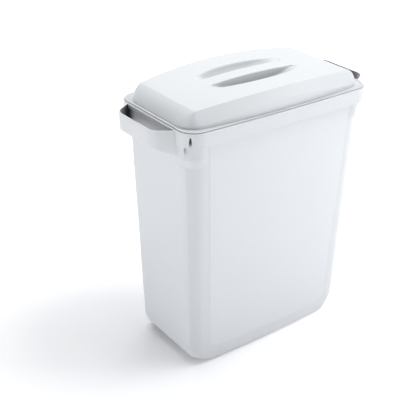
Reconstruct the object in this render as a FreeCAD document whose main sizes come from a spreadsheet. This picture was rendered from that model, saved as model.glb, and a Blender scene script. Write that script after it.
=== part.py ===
"""Slim rectangular waste bin: a tub with two bow handles and a lift-off domed lid.

The origin is at the middle of the base, on the floor. X runs along the long sides towards the
handles, Y runs through the depth and Z is up. Millimetres.
"""
import FreeCAD, Part
import math
import os

from FreeCAD import Placement, Rotation, Vector
import Sketcher

DIMENSIONS = {
    # tub: the wall's outline at the floor and at the rim, before the bottom edges are rounded
    "tub_height": 600.0,
    "wall": 2.6,
    "foot_half_length": 224.0,
    "foot_half_width": 112.9,
    "foot_corner": 32.0,
    "mouth_half_length": 244.8,
    "mouth_half_width": 133.2,
    "mouth_corner": 42.0,
    "wall_sweep": 3800.0,
    "end_round": 52.0,
    "side_round": 10.0,
    "sole_margin": 14.0,
    "sole_recess": 1.0,
    # rim: a flat top with a downturned skirt
    "rim_half_length": 254.0,
    "rim_half_width": 141.0,
    "rim_corner": 43.0,
    "rim_sweep": 7500.0,
    "rim_depth": 30.5,
    "rim_top": 3.0,
    "rim_skirt": 2.6,
    "rim_edge": 1.2,
    # stacking lugs: the corners of the wall stand proud below the rim
    "lug_proud": 4.0,
    "lug_drop": 53.0,
    "lug_slope": 20.0,
    "lug_root": 1.0,
    "lug_half_length": 193.0,
    "lug_half_width": 80.0,
    # slits in the skirt that hold the liner
    "slit_mouth": 8.5,
    "slit_top": 3.6,
    "slit_rise": 23.0,
    # bow handles
    "bow_reach": 294.8,
    "bow_front_half": 49.0,
    "bow_root_half": 98.5,
    "bow_corner": 31.0,
    "bow_band": 39.3,
    "bow_wall": 3.0,
    "bow_gusset": 20.0,
    "bow_gusset_start": 291.0,
    # lid: flange on the rim and the collar that drops into the mouth
    "lid_gap": 4.0,
    "lid_flange": 3.0,
    "lid_wall": 2.5,
    "collar_play": 1.6,
    "collar_drop": 14.0,
    "collar_wall": 2.8,
    "collar_taper": 0.8,
    # lid crown, heights from the rim: near-upright lower walls, leaning facets and an arched top
    "crown_half_length": 241.5,
    "crown_half_width": 130.3,
    "crown_corner": 48.0,
    "crown_sweep": 2013.0,
    "crown_lean": 0.086,
    "crown_clearance": 1.5,
    "shoulder_half_length": 213.5,
    "shoulder_height": 34.8,
    "shoulder_corner": 4.0,
    "end_bulge": 4.0,
    "arch_rise": 13.0,
    "facet_half_width": 137.6,
    "facet_lean": 0.4,
    "facet_corner": 53.0,
    "facet_sweep": 1427.0,
    "facet_sweep_loss": 10.6,
    # finger pockets either side of the grip ridge
    "ridge_half_width": 18.0,
    "pocket_sweep": 350.0,
    "brim_height": 43.0,
    "brim_half_length": 116.0,
    "brim_half_width": 60.0,
    "brim_tip": 9.0,
    "slope_height": 30.0,
    "slope_half_length": 72.0,
    "slope_half_width": 50.0,
    "slope_tip": 7.0,
    "floor_height": 20.8,
    "floor_half_length": 30.0,
    "floor_half_width": 33.0,
    "floor_tip": 5.0,
}

ROUND_STEPS = 6
CROWN_STEPS = 5
XY_PLANE = "XY_Plane"
XZ_PLANE = "XZ_Plane"
YZ_PLANE = "YZ_Plane"

doc = FreeCAD.newDocument("waste_bin")
sheet = doc.addObject("Spreadsheet::Sheet", "Sizes")
for row, (alias, size) in enumerate(DIMENSIONS.items(), start=1):
    sheet.set(f"A{row}", alias)
    sheet.set(f"B{row}", str(size))
    sheet.setAlias(f"B{row}", alias)
doc.recompute()


def number(expression):
    """The present value of an expression over the sheet."""
    return float(sheet.evalExpression(expression))


def cell(alias):
    """An expression that names one cell of the sheet."""
    return f"Sizes.{alias}"


# ---------------------------------------------------------------- sketches


def new_sketch(name, body=None, plane=XY_PLANE, height="0", turn=0.0):
    """An empty sketch: in a body on one of its planes, or free, level at a height."""
    if body is None:
        sketch = doc.addObject("Sketcher::SketchObject", name)
        sketch.setExpression("Placement.Base.z", height)
        return sketch
    sketch = body.newObject("Sketcher::SketchObject", name)
    planes = [item for item in body.Origin.OriginFeatures if item.Role == plane]
    sketch.AttachmentSupport = [(planes[0], "")]
    sketch.MapMode = "FlatFace"
    if plane == XY_PLANE:
        sketch.setExpression("AttachmentOffset.Base.z", height)
    if turn:
        sketch.AttachmentOffset = Placement(Vector(0, 0, 0), Rotation(Vector(0, 1, 0), turn))
    return sketch


def bind(sketch, constraint, name, expression):
    """Add a named constraint whose value follows an expression."""
    index = sketch.addConstraint(constraint)
    sketch.renameConstraint(index, name)
    sketch.setExpression(f"Constraints.{name}", expression)


def draw_outline(sketch, half_length, half_width, corner, sweep):
    """A rounded rectangle whose long sides bulge on arcs of radius sweep. Sizes are expressions.

    Its eight edges run anticlockwise from the right-hand end, and each meets the next at a tangent.
    """
    end_x = number(half_length)
    side_y = number(half_width)
    corner_r = number(corner)
    sweep_r = number(sweep)
    sweep_y = side_y - sweep_r
    corner_x = end_x - corner_r
    corner_y = sweep_y + math.sqrt((sweep_r - corner_r) ** 2 - corner_x ** 2)
    lean = math.asin(corner_x / (sweep_r - corner_r))
    quarter = math.pi / 2
    centres = [(corner_x, corner_y), (-corner_x, corner_y), (-corner_x, -corner_y), (corner_x, -corner_y)]
    starts = [0, quarter + lean, 2 * quarter, 3 * quarter + lean]
    ends = [quarter - lean, 2 * quarter, 3 * quarter - lean, 4 * quarter]
    axis = Vector(0, 0, 1)

    def corner_arc(which):
        circle = Part.Circle(Vector(*centres[which], 0), axis, corner_r)
        return Part.ArcOfCircle(circle, starts[which], ends[which])

    def side_arc(sign):
        circle = Part.Circle(Vector(0, sign * sweep_y, 0), axis, sweep_r)
        middle = quarter if sign > 0 else 3 * quarter
        return Part.ArcOfCircle(circle, middle - lean, middle + lean)

    def end_line(sign):
        start = Vector(sign * end_x, -sign * corner_y, 0)
        return Part.LineSegment(start, Vector(sign * end_x, sign * corner_y, 0))

    edges = [end_line(1), corner_arc(0), side_arc(1), corner_arc(1),
             end_line(-1), corner_arc(2), side_arc(-1), corner_arc(3)]
    first = sketch.GeometryCount
    for edge in edges:
        sketch.addGeometry(edge, False)
    right, corner_1, back, corner_2, left, corner_3, front, corner_4 = range(first, first + 8)
    ring = [right, corner_1, back, corner_2, left, corner_3, front, corner_4]
    for here, following in zip(ring, ring[1:] + ring[:1]):
        sketch.addConstraint(Sketcher.Constraint("Tangent", here, 2, following, 1))
    for line in (right, left):
        sketch.addConstraint(Sketcher.Constraint("Vertical", line))
    for arc in (back, front):
        sketch.addConstraint(Sketcher.Constraint("PointOnObject", arc, 3, -2))
    for arc in (corner_2, corner_3, corner_4):
        sketch.addConstraint(Sketcher.Constraint("Equal", corner_1, arc))
    sketch.addConstraint(Sketcher.Constraint("Equal", back, front))
    tag = f"g{first}"
    bind(sketch, Sketcher.Constraint("Radius", corner_1, corner_r), f"{tag}_corner", corner)
    bind(sketch, Sketcher.Constraint("Radius", back, sweep_r), f"{tag}_sweep", sweep)
    bind(sketch, Sketcher.Constraint("DistanceX", -1, 1, right, 1, end_x), f"{tag}_right", half_length)
    bind(sketch, Sketcher.Constraint("DistanceX", left, 1, -1, 1, end_x), f"{tag}_left", half_length)
    drop = f"{sweep} - ({half_width})"
    bind(sketch, Sketcher.Constraint("DistanceY", back, 3, -1, 1, -sweep_y), f"{tag}_back", drop)
    bind(sketch, Sketcher.Constraint("DistanceY", -1, 1, front, 3, -sweep_y), f"{tag}_front", drop)


def draw_polygon(sketch, corners):
    """A closed polygon. Each corner is a pair of expressions for its place in the sketch."""
    points = [Vector(number(x), number(y), 0) for x, y in corners]
    first = sketch.GeometryCount
    count = len(points)
    for index in range(count):
        sketch.addGeometry(Part.LineSegment(points[index], points[(index + 1) % count]), False)
    for index in range(count):
        following = first + (index + 1) % count
        sketch.addConstraint(Sketcher.Constraint("Coincident", first + index, 2, following, 1))
    for index, (x, y) in enumerate(corners):
        edge = first + index
        x_rule = Sketcher.Constraint("DistanceX", -1, 1, edge, 1, points[index].x)
        y_rule = Sketcher.Constraint("DistanceY", -1, 1, edge, 1, points[index].y)
        bind(sketch, x_rule, f"g{edge}_x", x)
        bind(sketch, y_rule, f"g{edge}_y", y)


# ---------------------------------------------------------------- features


def new_body(label):
    body = doc.addObject("PartDesign::Body", label)
    body.Label = label
    body.Placement = Placement()
    return body


def loft(body, name, sketches, kind="PartDesign::AdditiveLoft"):
    """A ruled loft through level sketches."""
    feature = body.newObject(kind, name)
    feature.Profile = sketches[0]
    feature.Sections = sketches[1:]
    feature.Ruled = True
    doc.recompute()
    return feature


def extrude(body, name, sketch, length, kind="PartDesign::Pad", reverse=False, both_ways=False):
    """A pad or a pocket whose length is an expression."""
    feature = body.newObject(kind, name)
    feature.Profile = sketch
    feature.Reversed = reverse
    feature.Midplane = both_ways
    feature.setExpression("Length", length)
    doc.recompute()
    return feature


def changes(body, make, grows):
    """Run a feature's maker and insist that the body's volume moves the right way."""
    before = body.Shape.Volume
    feature = make()
    change = body.Shape.Volume - before
    if (change > 0) != grows or abs(change) < 1.0:
        raise RuntimeError(f"{feature.Label} changed the volume by {change:.1f} mm3")
    return feature


# ---------------------------------------------------------------- tub


def wall_size(kind, height, inset):
    """The wall's half_length, half_width or corner at a height, drawn in by an inset."""
    foot = cell(f"foot_{kind}")
    mouth = cell(f"mouth_{kind}")
    return f"{foot} + ({mouth} - {foot}) * ({height}) / {cell('tub_height')} - ({inset})"


def wall_levels(thickness):
    """Heights of the wall's sections, with how far each is drawn in at the ends and the sides.

    The bottom edge is a quarter circle of radius end_round at the short ends and side_round at the
    long sides. A thickness moves the section inwards for the tub's inside.
    """
    end_round = cell("end_round")
    side_round = cell("side_round")
    levels = []
    for step in range(ROUND_STEPS + 1):
        angle = math.pi / 2 * step / ROUND_STEPS
        height = f"({end_round} - ({end_round} - {thickness}) * {math.cos(angle):.6f})"
        end_in = f"({thickness} + ({end_round} - {thickness}) * {1 - math.sin(angle):.6f})"
        below = f"max({side_round} - {height}; 0)"
        side_in = f"({side_round} - sqrt(({side_round} - {thickness})^2 - ({below})^2))"
        levels.append((height, end_in, side_in))
    levels.append((cell("tub_height"), str(thickness), str(thickness)))
    return levels


def wall_sections(body, name, thickness):
    """One sketch for each level of the wall's outer or inner surface."""
    sketches = []
    for index, (height, end_in, side_in) in enumerate(wall_levels(thickness)):
        sketch = new_sketch(f"{name}_{index}", body, height=height)
        draw_outline(sketch,
                     wall_size("half_length", height, end_in),
                     wall_size("half_width", height, side_in),
                     wall_size("corner", height, f"{thickness} * 0.8"),
                     cell("wall_sweep"))
        sketches.append(sketch)
    return sketches


def rim_outline(body, name, height, inset):
    """The rim's outline at a height, drawn in by an inset."""
    sketch = new_sketch(name, body, height=height)
    draw_outline(sketch, f"{cell('rim_half_length')} - {inset}", f"{cell('rim_half_width')} - {inset}",
                 f"{cell('rim_corner')} - {inset}", cell("rim_sweep"))
    return sketch


def add_lugs(body):
    """Four corners of a slightly larger wall below the rim, with their lower ends sloped off."""
    rim_bottom = f"{cell('tub_height')} - {cell('rim_depth')}"
    lug_bottom = f"{rim_bottom} - {cell('lug_drop')}"
    slope_top = f"{lug_bottom} + {cell('lug_slope')}"
    sketches = []
    root = cell("lug_root")
    proud = f"(-{cell('lug_proud')})"
    for name, height, outward in (("lug_bottom", lug_bottom, root), ("lug_slope_top", slope_top, proud),
                                  ("lug_top", rim_bottom, proud)):
        sketch = new_sketch(name, body, height=height)
        draw_outline(sketch, wall_size("half_length", height, outward),
                     wall_size("half_width", height, outward),
                     wall_size("corner", height, outward), cell("wall_sweep"))
        sketches.append(sketch)
    loft(body, "lugs", sketches)
    reach_x = cell("rim_half_length")
    reach_y = cell("rim_half_width")
    keep_x = cell("lug_half_length")
    keep_y = cell("lug_half_width")
    for name, half_x, half_y in (("lug_gap_sides", keep_x, reach_y), ("lug_gap_ends", reach_x, keep_y)):
        sketch = new_sketch(name, body, height=rim_bottom)
        draw_polygon(sketch, [(f"-{half_x}", f"-{half_y}"), (half_x, f"-{half_y}"),
                              (half_x, half_y), (f"-{half_x}", half_y)])
        changes(body, lambda: extrude(body, f"{name}_cut", sketch, f"{cell('lug_drop')} + 1",
                                      "PartDesign::Pocket"), grows=False)


def draw_bow(sketch):
    """The handle's wall in plan: an outer and an inner run of slant, arc, front, arc and slant."""
    root_x = f"{cell('mouth_half_length')} - {cell('wall')} / 2"
    root_y = cell("bow_root_half")
    centre_x = f"{cell('bow_reach')} - {cell('bow_corner')}"
    centre_y = cell("bow_front_half")
    centre = Vector(number(centre_x), number(centre_y), 0)
    root = Vector(number(root_x), number(root_y), 0)
    outer_r = number(cell("bow_corner"))
    inner_r = outer_r - number(cell("bow_wall"))
    to_root = root - centre
    turn = math.atan2(to_root.y, to_root.x) - math.acos(outer_r / to_root.Length)
    normal = Vector(math.cos(turn), math.sin(turn), 0)
    axis = Vector(0, 0, 1)

    def mirrored(point):
        return Vector(point.x, -point.y, 0)

    def run(radius):
        """Geometry of one run, from the root below the X axis to the root above it."""
        on_arc = centre + normal * radius
        reach = (on_arc.x - root.x) / normal.y
        end = on_arc + Vector(-normal.y, normal.x, 0) * reach
        front = centre + Vector(radius, 0, 0)
        upper = Part.ArcOfCircle(Part.Circle(centre, axis, radius), 0, turn)
        lower = Part.ArcOfCircle(Part.Circle(mirrored(centre), axis, radius), -turn, 0)
        first = sketch.GeometryCount
        for edge in (Part.LineSegment(mirrored(end), mirrored(on_arc)), lower,
                     Part.LineSegment(mirrored(front), front), upper, Part.LineSegment(on_arc, end)):
            sketch.addGeometry(edge, False)
        for edge in range(first, first + 4):
            sketch.addConstraint(Sketcher.Constraint("Tangent", edge, 2, edge + 1, 1))
        sketch.addConstraint(Sketcher.Constraint("Equal", first + 1, first + 3))
        rule = Sketcher.Constraint("Radius", first + 1, radius)
        return first, end, rule

    outer, _, outer_rule = run(outer_r)
    inner, inner_end, inner_rule = run(inner_r)
    bind(sketch, outer_rule, "outer_corner", cell("bow_corner"))
    bind(sketch, inner_rule, "inner_corner", f"{cell('bow_corner')} - {cell('bow_wall')}")
    for arc, name, side in ((outer + 1, "lower", -1), (outer + 3, "upper", 1)):
        x_rule = Sketcher.Constraint("DistanceX", -1, 1, arc, 3, centre.x)
        y_rule = Sketcher.Constraint("DistanceY", -1, 1, arc, 3, side * centre.y)
        bind(sketch, x_rule, f"{name}_centre_x", centre_x)
        bind(sketch, y_rule, f"{name}_centre_y", f"{side} * {centre_y}")
    for shift in (1, 3):
        sketch.addConstraint(Sketcher.Constraint("Coincident", outer + shift, 3, inner + shift, 3))
    for line, point, name, side in ((outer, 1, "lower", -1), (outer + 4, 2, "upper", 1)):
        x_rule = Sketcher.Constraint("DistanceX", -1, 1, line, point, root.x)
        y_rule = Sketcher.Constraint("DistanceY", -1, 1, line, point, side * root.y)
        bind(sketch, x_rule, f"{name}_root_x", root_x)
        bind(sketch, y_rule, f"{name}_root_y", f"{side} * {root_y}")
    for line, point, side in ((0, 1, -1), (4, 2, 1)):
        sketch.addConstraint(Sketcher.Constraint("Parallel", outer + line, inner + line))
        start = Vector(root.x, side * root.y, 0)
        end = Vector(inner_end.x, side * inner_end.y, 0)
        closing = sketch.addGeometry(Part.LineSegment(start, end), False)
        sketch.addConstraint(Sketcher.Constraint("Coincident", closing, 1, outer + line, point))
        sketch.addConstraint(Sketcher.Constraint("Coincident", closing, 2, inner + line, point))
        sketch.addConstraint(Sketcher.Constraint("Vertical", closing))


def add_bows(body):
    """The handle's band at one end, its gussets cut to a slope below, and its mirror image."""
    band_bottom = f"{cell('tub_height')} - {cell('bow_band')}"
    gusset_bottom = f"{band_bottom} - {cell('bow_gusset')}"
    sketch = new_sketch("bow_plan", body, height=gusset_bottom)
    draw_bow(sketch)
    height = f"{cell('bow_band')} + {cell('bow_gusset')}"
    band = changes(body, lambda: extrude(body, "bow_band", sketch, height), grows=True)
    under = new_sketch("bow_underside", body, plane=XZ_PLANE)
    clear_bottom = f"{gusset_bottom} - 5"
    clear_x = f"{cell('bow_reach')} + 5"
    root_x = wall_size("half_length", gusset_bottom, "-0.6")
    draw_polygon(under, [(root_x, clear_bottom), (clear_x, clear_bottom), (clear_x, band_bottom),
                         (cell("bow_gusset_start"), band_bottom), (root_x, gusset_bottom)])
    cut = changes(body, lambda: extrude(body, "bow_underside_cut", under, f"4 * {cell('bow_root_half')}",
                                        "PartDesign::Pocket", both_ways=True), grows=False)
    mirror = body.newObject("PartDesign::Mirrored", "bow_mirror")
    planes = [item for item in body.Origin.OriginFeatures if item.Role == YZ_PLANE]
    mirror.Originals = [band, cut]
    mirror.MirrorPlane = (planes[0], [""])
    body.Tip = mirror
    doc.recompute()


def cut_slits(body):
    """A tapered slit through the skirt at each corner of the rim, open at the skirt's edge."""
    centre_x = f"({cell('rim_half_length')} - {cell('rim_corner')})"
    side_bow = f"{centre_x}^2 / (2 * {cell('rim_sweep')})"
    centre_y = f"({cell('rim_half_width')} - {cell('rim_corner')} - {side_bow})"
    clearance = 3
    low = f"{cell('tub_height')} - {cell('rim_depth')} - 1"
    high = f"{cell('tub_height')} - {cell('rim_depth')} + {cell('slit_rise')}"
    half_mouth = f"{cell('slit_mouth')} / 2"
    half_top = f"{cell('slit_top')} / 2"
    for index, (sign_x, sign_y) in enumerate(((1, 1), (-1, 1), (-1, -1), (1, -1))):
        heading = Vector(sign_x, sign_y, 0).normalize()
        turn = math.degrees(math.atan2(heading.x, -heading.y))
        sketch = new_sketch(f"slit_{index + 1}", body, plane=XZ_PLANE, turn=turn)
        outside = f"({cell('rim_corner')} + {clearance})"
        plane_x = f"{sign_x} * {centre_x} + {heading.x:.6f} * {outside}"
        plane_z = f"{-sign_y} * {centre_y} - {heading.y:.6f} * {outside}"
        sketch.setExpression("AttachmentOffset.Base.x", plane_x)
        sketch.setExpression("AttachmentOffset.Base.z", plane_z)
        draw_polygon(sketch, [(f"-{half_mouth}", low), (half_mouth, low),
                              (half_top, high), (f"-{half_top}", high)])
        depth = f"{cell('rim_skirt')} + {clearance} + 2"
        changes(body, lambda: extrude(body, f"slit_{index + 1}_cut", sketch, depth, "PartDesign::Pocket"),
                grows=False)


def round_rim(body):
    """Round the rim block's top edge."""
    block = body.Tip
    top = number(cell("tub_height"))
    names = []
    for index, edge in enumerate(block.Shape.Edges, start=1):
        box = edge.BoundBox
        if abs(box.ZMin - top) < 0.01 and abs(box.ZMax - top) < 0.01:
            names.append(f"Edge{index}")
    feature = body.newObject("PartDesign::Fillet", "rim_round")
    feature.Base = (block, names)
    feature.setExpression("Radius", cell("rim_edge"))
    doc.recompute()
    return feature


def recess_sole(body):
    """A shallow recess that leaves the tub standing on a ring."""
    sole = wall_levels("0")[0]
    margin = cell("sole_margin")
    sketch = new_sketch("sole", body, height="0")
    draw_outline(sketch, wall_size("half_length", "0", f"{sole[1]} + {margin}"),
                 wall_size("half_width", "0", f"{sole[2]} + {margin}"),
                 f"{cell('foot_corner')} - {margin}", cell("wall_sweep"))
    changes(body, lambda: extrude(body, "sole_recess", sketch, cell("sole_recess"),
                                  "PartDesign::Pocket", reverse=True), grows=False)


def build_tub():
    body = new_body("tub")
    rim_bottom = f"{cell('tub_height')} - {cell('rim_depth')}"
    extrude(body, "rim_block", rim_outline(body, "rim_outer", rim_bottom, "0"), cell("rim_depth"))
    changes(body, lambda: round_rim(body), grows=False)
    add_lugs(body)
    under_rim = rim_outline(body, "rim_inner", rim_bottom, cell("rim_skirt"))
    changes(body, lambda: extrude(body, "rim_hollow", under_rim, f"{cell('rim_depth')} - {cell('rim_top')}",
                                  "PartDesign::Pocket", reverse=True), grows=False)
    changes(body, lambda: loft(body, "walls", wall_sections(body, "wall_outer", "0")), grows=True)
    add_bows(body)
    changes(body, lambda: loft(body, "cavity", wall_sections(body, "wall_inner", cell("wall")),
                               "PartDesign::SubtractiveLoft"), grows=False)
    cut_slits(body)
    recess_sole(body)
    return body


# ---------------------------------------------------------------- lid


def extrusion(name, sketch, length):
    """A solid prism on a free sketch."""
    prism = doc.addObject("Part::Extrusion", name)
    prism.Base = sketch
    prism.DirMode = "Normal"
    prism.Solid = True
    prism.setExpression("LengthFwd", length)
    return prism


def free_loft(name, sketches):
    """A solid ruled loft through free level sketches."""
    solid = doc.addObject("Part::Loft", name)
    solid.Sections = sketches
    solid.Solid = True
    solid.Ruled = True
    return solid


def combine(kind, name, shapes):
    """The fusion or the common part of several shapes."""
    result = doc.addObject(kind, name)
    result.Shapes = shapes
    return result


def cut(name, base, tool):
    result = doc.addObject("Part::Cut", name)
    result.Base = base
    result.Tool = tool
    return result


def level_sketch(name, height):
    """A free level sketch at a height from the rim."""
    return new_sketch(name, height=f"{cell('tub_height')} + {height}")


def arch(name, drop):
    """Everything under the lid's arched top, lowered by a drop."""
    sketch = level_sketch(f"{name}_profile", "0")
    sketch.Placement = Placement(Vector(0, 0, 0), Rotation(Vector(1, 0, 0), 90))
    rise = cell("arch_rise")
    reach = cell("shoulder_half_length")
    radius = f"({reach}^2 + {rise}^2) / (2 * {rise})"
    centre = f"{cell('shoulder_height')} + {rise} - {drop} - {radius}"
    edge_x = cell("rim_half_length")
    low = f"2 * {cell('collar_drop')}"
    arch_r = number(radius)
    centre_y = number(centre)
    right = number(edge_x)
    bottom = -number(low)
    half_turn = math.asin(right / arch_r)
    edge_y = centre_y + arch_r * math.cos(half_turn)
    circle = Part.Circle(Vector(0, centre_y, 0), Vector(0, 0, 1), arch_r)
    corners = [Vector(-right, edge_y, 0), Vector(-right, bottom, 0),
               Vector(right, bottom, 0), Vector(right, edge_y, 0)]
    sketch.addGeometry(Part.ArcOfCircle(circle, math.pi / 2 - half_turn, math.pi / 2 + half_turn), False)
    for start, end in zip(corners, corners[1:]):
        sketch.addGeometry(Part.LineSegment(start, end), False)
    for edge in range(4):
        sketch.addConstraint(Sketcher.Constraint("Coincident", edge, 2, (edge + 1) % 4, 1))
    for edge, kind in ((1, "Vertical"), (2, "Horizontal"), (3, "Vertical")):
        sketch.addConstraint(Sketcher.Constraint(kind, edge))
    sketch.addConstraint(Sketcher.Constraint("PointOnObject", 0, 3, -2))
    bind(sketch, Sketcher.Constraint("Radius", 0, arch_r), "radius", radius)
    bind(sketch, Sketcher.Constraint("DistanceY", -1, 1, 0, 3, centre_y), "centre", centre)
    bind(sketch, Sketcher.Constraint("DistanceX", -1, 1, 2, 2, right), "right", edge_x)
    bind(sketch, Sketcher.Constraint("DistanceX", 2, 1, -1, 1, right), "left", edge_x)
    bind(sketch, Sketcher.Constraint("DistanceY", 2, 1, -1, 1, -bottom), "bottom", low)
    prism = extrusion(name, sketch, f"2 * {cell('rim_half_width')}")
    prism.Symmetric = True
    return prism


def end_profile(step, inset):
    """Height and reach of the crown's bulging end face at one of its steps."""
    run = f"({cell('crown_half_length')} - {cell('shoulder_half_length')})"
    climb = f"({cell('shoulder_height')} - {cell('lid_flange')})"
    chord = f"sqrt({run}^2 + {climb}^2)"
    part = step / CROWN_STEPS
    if step == CROWN_STEPS:
        part += 0.04
    bulge = f"{cell('end_bulge')} * {4 * part * (1 - part):.5f} / {chord}"
    height = f"({cell('lid_flange')} + {climb} * {part:.5f} + {run} * {bulge})"
    reach = f"({cell('crown_half_length')} - {run} * {part:.5f} + {climb} * {bulge} - 1.3 * {inset})"
    return height, reach


def crown(name, inset, low):
    """The crown as a solid block from a low level, drawn in by an inset."""
    high = f"({cell('shoulder_height')} + {cell('arch_rise')} + 3)"
    walls = []
    for index, height in enumerate((low, high)):
        lean = f"{cell('crown_lean')} * {height}"
        sketch = level_sketch(f"{name}_wall_{index}", height)
        draw_outline(sketch, f"{cell('crown_half_length')} + {cell('crown_clearance')} - {inset}",
                     f"{cell('crown_half_width')} - {lean} - {inset}",
                     f"{cell('crown_corner')} - {lean} - {inset}", cell("crown_sweep"))
        walls.append(sketch)
    base_reach = end_profile(0, inset)[1]
    levels = [(low, base_reach)]
    levels.extend(end_profile(step, inset) for step in range(CROWN_STEPS + 1))
    levels.append((high, levels[-1][1]))
    corner_loss = f"({cell('facet_corner')} - {cell('shoulder_corner')}) / {cell('shoulder_height')}"
    facets = []
    for index, (height, reach) in enumerate(levels):
        corner = f"max({cell('facet_corner')} - {corner_loss} * {height}; {cell('shoulder_corner')})"
        sketch = level_sketch(f"{name}_facet_{index}", height)
        draw_outline(sketch, reach,
                     f"{cell('facet_half_width')} - {cell('facet_lean')} * {height} - {inset}",
                     f"{corner} - 0.8 * {inset}",
                     f"{cell('facet_sweep')} - {cell('facet_sweep_loss')} * {height}")
        facets.append(sketch)
    return combine("Part::MultiCommon", name, [arch(f"{name}_arch", inset),
                                               free_loft(f"{name}_walls", walls),
                                               free_loft(f"{name}_facets", facets)])


def collar(name, low, high, inset):
    """The locating collar as a solid block between two heights, drawn in by an inset."""
    sketches = []
    for index, (height, taper) in enumerate(((low, cell("collar_taper")), (high, "0"))):
        draw_in = f"({cell('wall')} + {cell('collar_play')} + {taper} + {inset})"
        sketch = level_sketch(f"{name}_{index}", height)
        draw_outline(sketch, f"{cell('mouth_half_length')} - {draw_in}",
                     f"{cell('mouth_half_width')} - {draw_in}",
                     f"{cell('mouth_corner')} - {draw_in}", cell("wall_sweep"))
        sketches.append(sketch)
    return free_loft(name, sketches)


def draw_pocket(sketch, half_length, inner, outer, tip):
    """A pocket's outline: straight towards the ridge, upright tips and a swept outer side."""
    end_x = number(half_length)
    inner_y = number(inner)
    outer_y = number(outer)
    tip_r = number(tip)
    sweep_r = number(cell("pocket_sweep"))
    tip_x = end_x - tip_r
    sweep_y = outer_y - sweep_r
    outer_tip_y = sweep_y + math.sqrt((sweep_r - tip_r) ** 2 - tip_x ** 2)
    inner_tip_y = inner_y + tip_r
    lean = math.asin(tip_x / (sweep_r - tip_r))
    quarter = math.pi / 2
    axis = Vector(0, 0, 1)

    def arc(x, y, radius, start, end):
        return Part.ArcOfCircle(Part.Circle(Vector(x, y, 0), axis, radius), start, end)

    edges = [Part.LineSegment(Vector(end_x, inner_tip_y, 0), Vector(end_x, outer_tip_y, 0)),
             arc(tip_x, outer_tip_y, tip_r, 0, quarter - lean),
             arc(0, sweep_y, sweep_r, quarter - lean, quarter + lean),
             arc(-tip_x, outer_tip_y, tip_r, quarter + lean, 2 * quarter),
             Part.LineSegment(Vector(-end_x, outer_tip_y, 0), Vector(-end_x, inner_tip_y, 0)),
             arc(-tip_x, inner_tip_y, tip_r, 2 * quarter, 3 * quarter),
             Part.LineSegment(Vector(-tip_x, inner_y, 0), Vector(tip_x, inner_y, 0)),
             arc(tip_x, inner_tip_y, tip_r, 3 * quarter, 4 * quarter)]
    for edge in edges:
        sketch.addGeometry(edge, False)
    for edge in range(8):
        sketch.addConstraint(Sketcher.Constraint("Tangent", edge, 2, (edge + 1) % 8, 1))
    for line, kind in ((0, "Vertical"), (4, "Vertical"), (6, "Horizontal")):
        sketch.addConstraint(Sketcher.Constraint(kind, line))
    for corner in (3, 5, 7):
        sketch.addConstraint(Sketcher.Constraint("Equal", 1, corner))
    sketch.addConstraint(Sketcher.Constraint("PointOnObject", 2, 3, -2))
    bind(sketch, Sketcher.Constraint("Radius", 1, tip_r), "tip", tip)
    bind(sketch, Sketcher.Constraint("Radius", 2, sweep_r), "sweep", cell("pocket_sweep"))
    bind(sketch, Sketcher.Constraint("DistanceX", -1, 1, 0, 1, end_x), "right", half_length)
    bind(sketch, Sketcher.Constraint("DistanceX", 4, 1, -1, 1, end_x), "left", half_length)
    bind(sketch, Sketcher.Constraint("DistanceY", -1, 1, 6, 1, inner_y), "inner", inner)
    bind(sketch, Sketcher.Constraint("DistanceY", 2, 3, -1, 1, -sweep_y), "sweep_centre",
         f"{cell('pocket_sweep')} - ({outer})")


def pockets(name, growth):
    """The two finger pockets as solid blocks, grown by a wall's thickness."""
    high = f"{cell('shoulder_height')} + {cell('arch_rise')} + 3"
    levels = [(high, "brim")]
    for level in ("brim", "slope", "floor"):
        levels.append((f"{cell(level + '_height')} - {growth}", level))
    sketches = []
    for index, (height, level) in enumerate(levels):
        sketch = level_sketch(f"{name}_level_{index}", height)
        draw_pocket(sketch, f"{cell(level + '_half_length')} + {growth}",
                    f"{cell('ridge_half_width')} - {growth}",
                    f"{cell(level + '_half_width')} + {growth}",
                    f"{cell(level + '_tip')} + {growth}")
        sketches.append(sketch)
    block = free_loft(f"{name}_block", sketches)
    mirror = doc.addObject("Part::Mirroring", f"{name}_mirror")
    mirror.Source = block
    mirror.Base = Vector(0, 0, 0)
    mirror.Normal = Vector(0, 1, 0)
    return combine("Part::MultiFuse", name, [block, mirror])


def build_lid():
    plate = level_sketch("flange_outline", "0")
    gap = cell("lid_gap")
    draw_outline(plate, f"{cell('rim_half_length')} - {gap}", f"{cell('rim_half_width')} - {gap}",
                 f"{cell('rim_corner')} - {gap}", cell("rim_sweep"))
    flange = extrusion("flange", plate, cell("lid_flange"))
    thickness = cell("lid_wall")
    crown_outer = crown("crown_outer", "0", "0")
    crown_inner = crown("crown_inner", thickness, "(-1)")
    drop = f"(-{cell('collar_drop')})"
    collar_outer = collar("collar_outer", drop, "1", "0")
    collar_inner = collar("collar_inner", f"({drop} - 1)", "2", cell("collar_wall"))
    ring = cut("collar_ring", collar_outer, collar_inner)
    block = combine("Part::MultiFuse", "crown_on_flange", [flange, crown_outer])
    shell = cut("crown_shell", block, crown_inner)
    pocket_outer = pockets("pocket_outer", thickness)
    pocket_walls = combine("Part::MultiCommon", "pocket_walls", [pocket_outer, crown_outer])
    solid = combine("Part::MultiFuse", "lid_uncut", [shell, ring, pocket_walls])
    body = cut("lid", solid, pockets("pocket_hollow", "0"))
    doc.recompute()
    return body


# ---------------------------------------------------------------- pieces


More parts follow.
